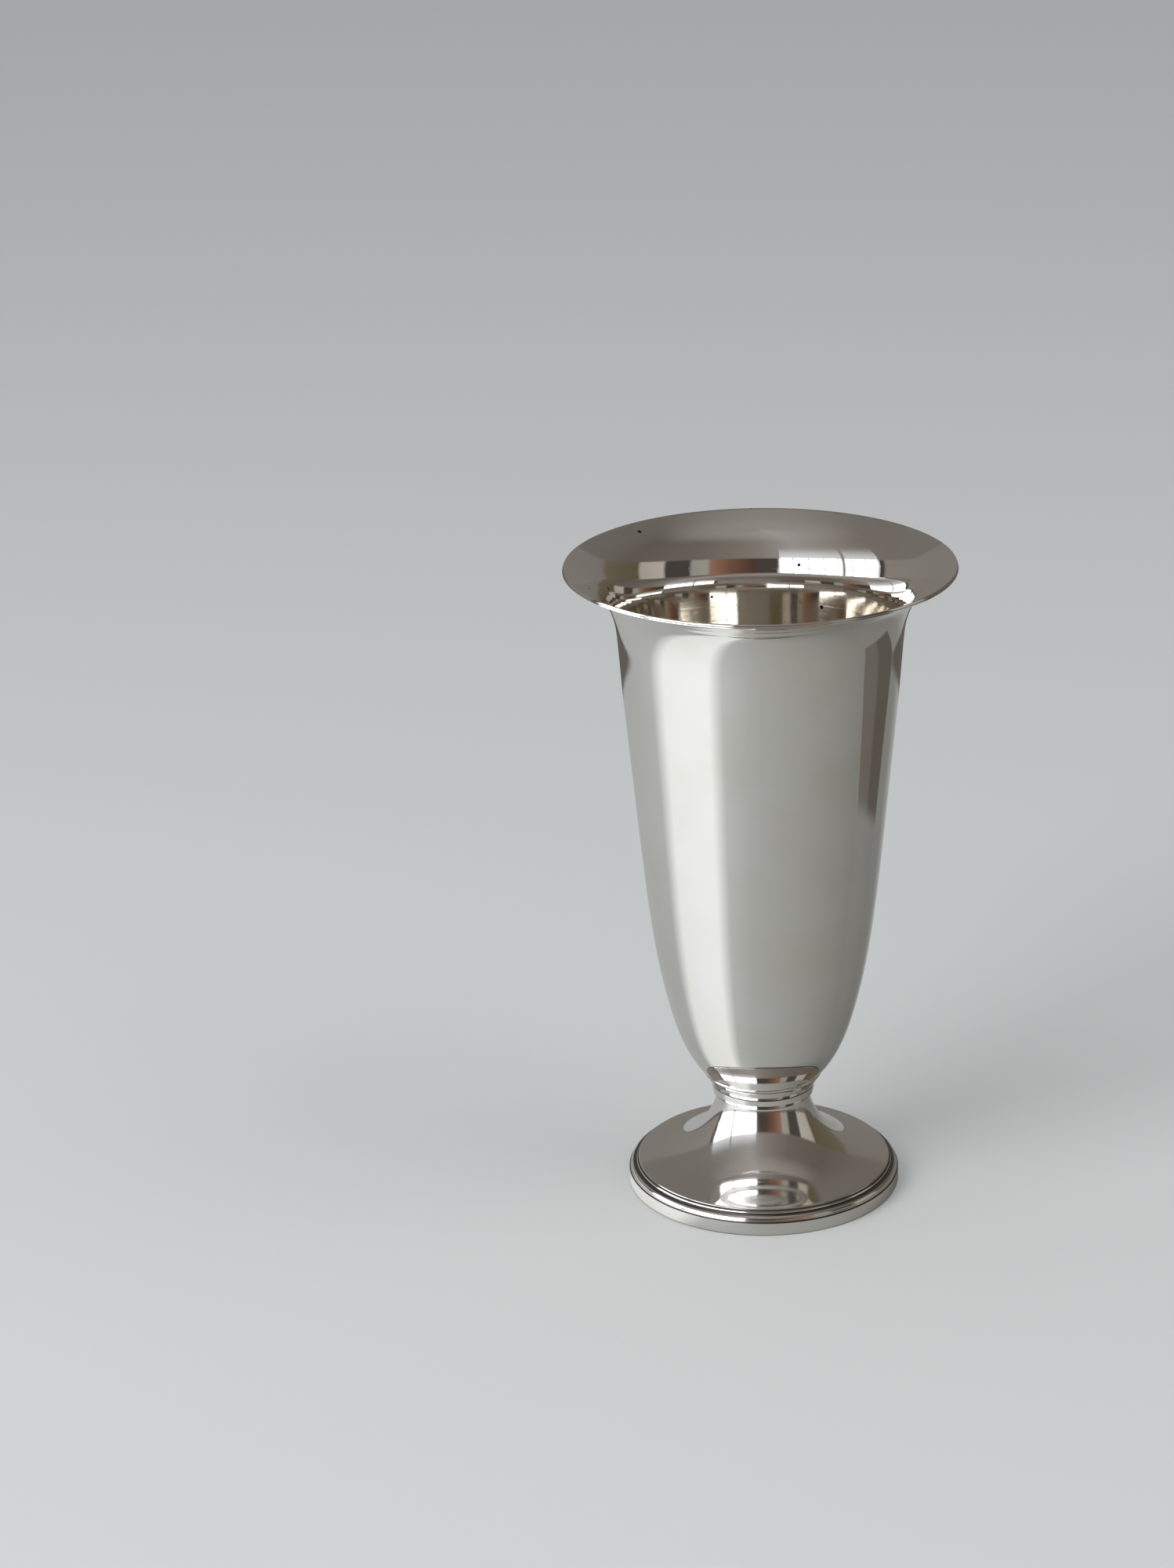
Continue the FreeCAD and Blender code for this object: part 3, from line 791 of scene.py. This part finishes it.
def make_world():
    """Plain soft light for matt surfaces, and panels and dark flags for the silver to mirror."""
    world = bpy.data.worlds.new("studio")
    bpy.context.scene.world = world
    nodes = Nodes(world)
    direction = nodes.add("TexCoord").outputs["Generated"]
    angle, rise = facing(nodes, direction)
    around = by_angle(nodes, angle, SURROUNDINGS)
    uprights = nodes.maths("ADD", angle, UPRIGHT_START)
    uprights = nodes.maths("PINGPONG", uprights, math.radians(UPRIGHT_SPACING))
    near, far = (math.radians(degrees) for degrees in UPRIGHT_EDGES)
    uprights = nodes.between(uprights, near, far, BAR_LIGHT, 1.0)
    levels = nodes.maths("PINGPONG", nodes.maths("ADD", rise, LEVEL_START), LEVEL_SPACING)
    levels = nodes.between(levels, *LEVEL_EDGES, BAR_LIGHT, 1.0)
    grid = nodes.maths("MULTIPLY", uprights, levels)
    is_panel = nodes.between(nodes.add("RGBToBW", {0: around}), *PANEL_LIGHT)
    grid = nodes.maths("MAXIMUM", grid, nodes.maths("SUBTRACT", 1.0, is_panel))
    around = nodes.blend(grid, BAR_COLOUR, around)
    above = by_angle(nodes, angle, UPPER_ROOM)
    overhead = nodes.between(rise, *CEILING_RISE, 0.0, CEILING_SHARE)
    above = nodes.blend(overhead, above, CEILING)
    glow = nodes.between(rise, PANEL_TOP, PANEL_TOP + GLOW_REACH, GLOW_SHARE, 0.0)
    above = nodes.blend(nodes.maths("MULTIPLY", glow, is_panel), above, GLOW)
    over = nodes.between(rise, PANEL_TOP - PANEL_TOP_BLUR, PANEL_TOP + PANEL_TOP_BLUR)
    room = nodes.blend(over, around, above)
    is_glossy = nodes.add("LightPath").outputs["Is Glossy Ray"]
    colour = nodes.blend(is_glossy, PLAIN_LIGHT, room)
    background = nodes.add("Background", {"Color": colour, "Strength": 1.0})
    nodes.add("OutputWorld", {"Surface": background})


def make_floor():
    """A plain pale floor. In the silver it shows a painted sheen and painted shade, and it ends
    where the table ends: beyond that it glows with the dimmed room, a painted reflection.
    """
    mesh = bpy.data.meshes.new("floor")
    work = bmesh.new()
    bmesh.ops.create_circle(work, cap_ends=True, segments=FLOOR_SIDES, radius=FLOOR_RADIUS)
    work.to_mesh(mesh)
    work.free()
    material = bpy.data.materials.new("pale floor")
    nodes = Nodes(material)
    place = nodes.add("NewGeometry").outputs["Position"]
    across = nodes.add("VectorMath", {0: place}, operation="LENGTH").outputs["Value"]
    angle, _ = facing(nodes, place)
    start, full, waning, end = (math.radians(degrees) for degrees in NEAR_EDGE)
    waxes = nodes.between(angle, start, full)
    near = nodes.maths("MULTIPLY", waxes, nodes.between(angle, waning, end, 1.0, 0.0))
    across = nodes.maths("MULTIPLY_ADD", near, NEAR_EDGE_SHIFT, across)
    is_glossy = nodes.add("LightPath").outputs["Is Glossy Ray"]
    # In the silver the floor's colour carries a painted sheen and painted shade.
    colour = nodes.blend(is_glossy, FLOOR_COLOUR, by_angle(nodes, angle, MIRRORED_FLOOR_SHEEN_AND_SHADE))
    beyond_glow_colour = nodes.blend(BEYOND_GLOW_SHARE, by_angle(nodes, angle, SURROUNDINGS), BEYOND_GLOW_COLOUR)
    shader = nodes.add(
        "BsdfPrincipled",
        {
            "Base Color": colour,
            "Roughness": FLOOR_ROUGHNESS,
            "Specular IOR Level": FLOOR_SHINE,
        },
    )
    # Painted reflection: beyond the table's edge the floor glows in the silver with the dimmed
    # room.
    beyond_glow = nodes.add("Emission", {"Color": beyond_glow_colour, "Strength": 1.0})
    outside = nodes.between(across, TABLE_EDGE, TABLE_EDGE + TABLE_EDGE_BLUR)
    factor = nodes.maths("MULTIPLY", outside, is_glossy)
    mixed = nodes.add("MixShader", {0: factor, 1: shader, 2: beyond_glow})
    nodes.add("OutputMaterial", {"Surface": mixed})
    mesh.materials.append(material)
    floor = bpy.data.objects.new("floor", mesh)
    bpy.context.scene.collection.objects.link(floor)


def make_lamp(name, place, aim, size, power, colour):
    lamp = bpy.data.lights.new(name, "AREA")
    lamp.shape = "RECTANGLE"
    lamp.size, lamp.size_y = size
    lamp.energy = power
    lamp.color = colour
    holder = bpy.data.objects.new(name, lamp)
    holder.location = place
    holder.rotation_euler = (Vector(aim) - Vector(place)).to_track_quat("-Z", "Y").to_euler()
    holder.visible_glossy = False
    bpy.context.scene.collection.objects.link(holder)


def make_camera():
    camera = bpy.data.cameras.new("camera")
    camera.lens = CAMERA_LENS
    camera.clip_start = CAMERA_CLIP
    holder = bpy.data.objects.new("camera", camera)
    level = Vector((math.sin(CAMERA_YAW), math.cos(CAMERA_YAW), 0.0))
    right = Vector((math.cos(CAMERA_YAW), -math.sin(CAMERA_YAW), 0.0))
    up = Vector((0.0, 0.0, 1.0))
    ahead = math.cos(CAMERA_PITCH) * level - math.sin(CAMERA_PITCH) * up
    over = math.sin(CAMERA_PITCH) * level + math.cos(CAMERA_PITCH) * up
    rolled_right = math.cos(CAMERA_ROLL) * right + math.sin(CAMERA_ROLL) * over
    rolled_up = math.cos(CAMERA_ROLL) * over - math.sin(CAMERA_ROLL) * right
    turn = Matrix((rolled_right, rolled_up, -ahead)).transposed().to_4x4()
    holder.matrix_world = Matrix.Translation(CAMERA_PLACE) @ turn
    bpy.context.scene.collection.objects.link(holder)
    bpy.context.scene.camera = holder


def make_vase():
    outside = silver("polished silver")
    foot_top = measured("foot_shell")[2]
    bead_top = measured("border_moulding")[2]
    # The crease at height 0, where the band meets the floor, is a painted contact shadow; the
    # other creases carry tarnish and painted shade.
    border_creases = (bead_top, bead_top - BEAD_HEIGHT, measured("foot_band")[2], 0.0)
    foot = silver("worn silver of the foot", worn=FOOT_WEAR, creases=border_creases)
    # At the collar's joints the creases carry tarnish and painted shade.
    joints = (foot_top, foot_top + SHOULDER_HEIGHT, measured("collar")[2])
    collar = silver("silver of the collar", creases=joints)
    throat = measured("bowl_shell")[1] + BODY_HEIGHT
    inside = silver("silver inside the bowl", spun_below=throat, specks=True)
    pieces = [
        make_bowl(outside, inside),
        make_rim_wire(outside),
        make_upper_ring(collar),
        make_collar(collar),
        make_lower_ring(collar),
        make_foot(foot),
        make_moulding(foot),
        make_band(foot),
    ]
    for piece in pieces:
        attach(piece, "root")
    disc = make_felt(felt())
    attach(disc, "root")
    dress_inner_nodes()


make_vase()
make_floor()
make_world()
for lamp_settings in LAMPS:
    make_lamp(*lamp_settings)
make_camera()
bpy.context.scene.view_settings.view_transform = "Standard"
bpy.context.scene.cycles.glossy_bounces = GLOSSY_BOUNCES
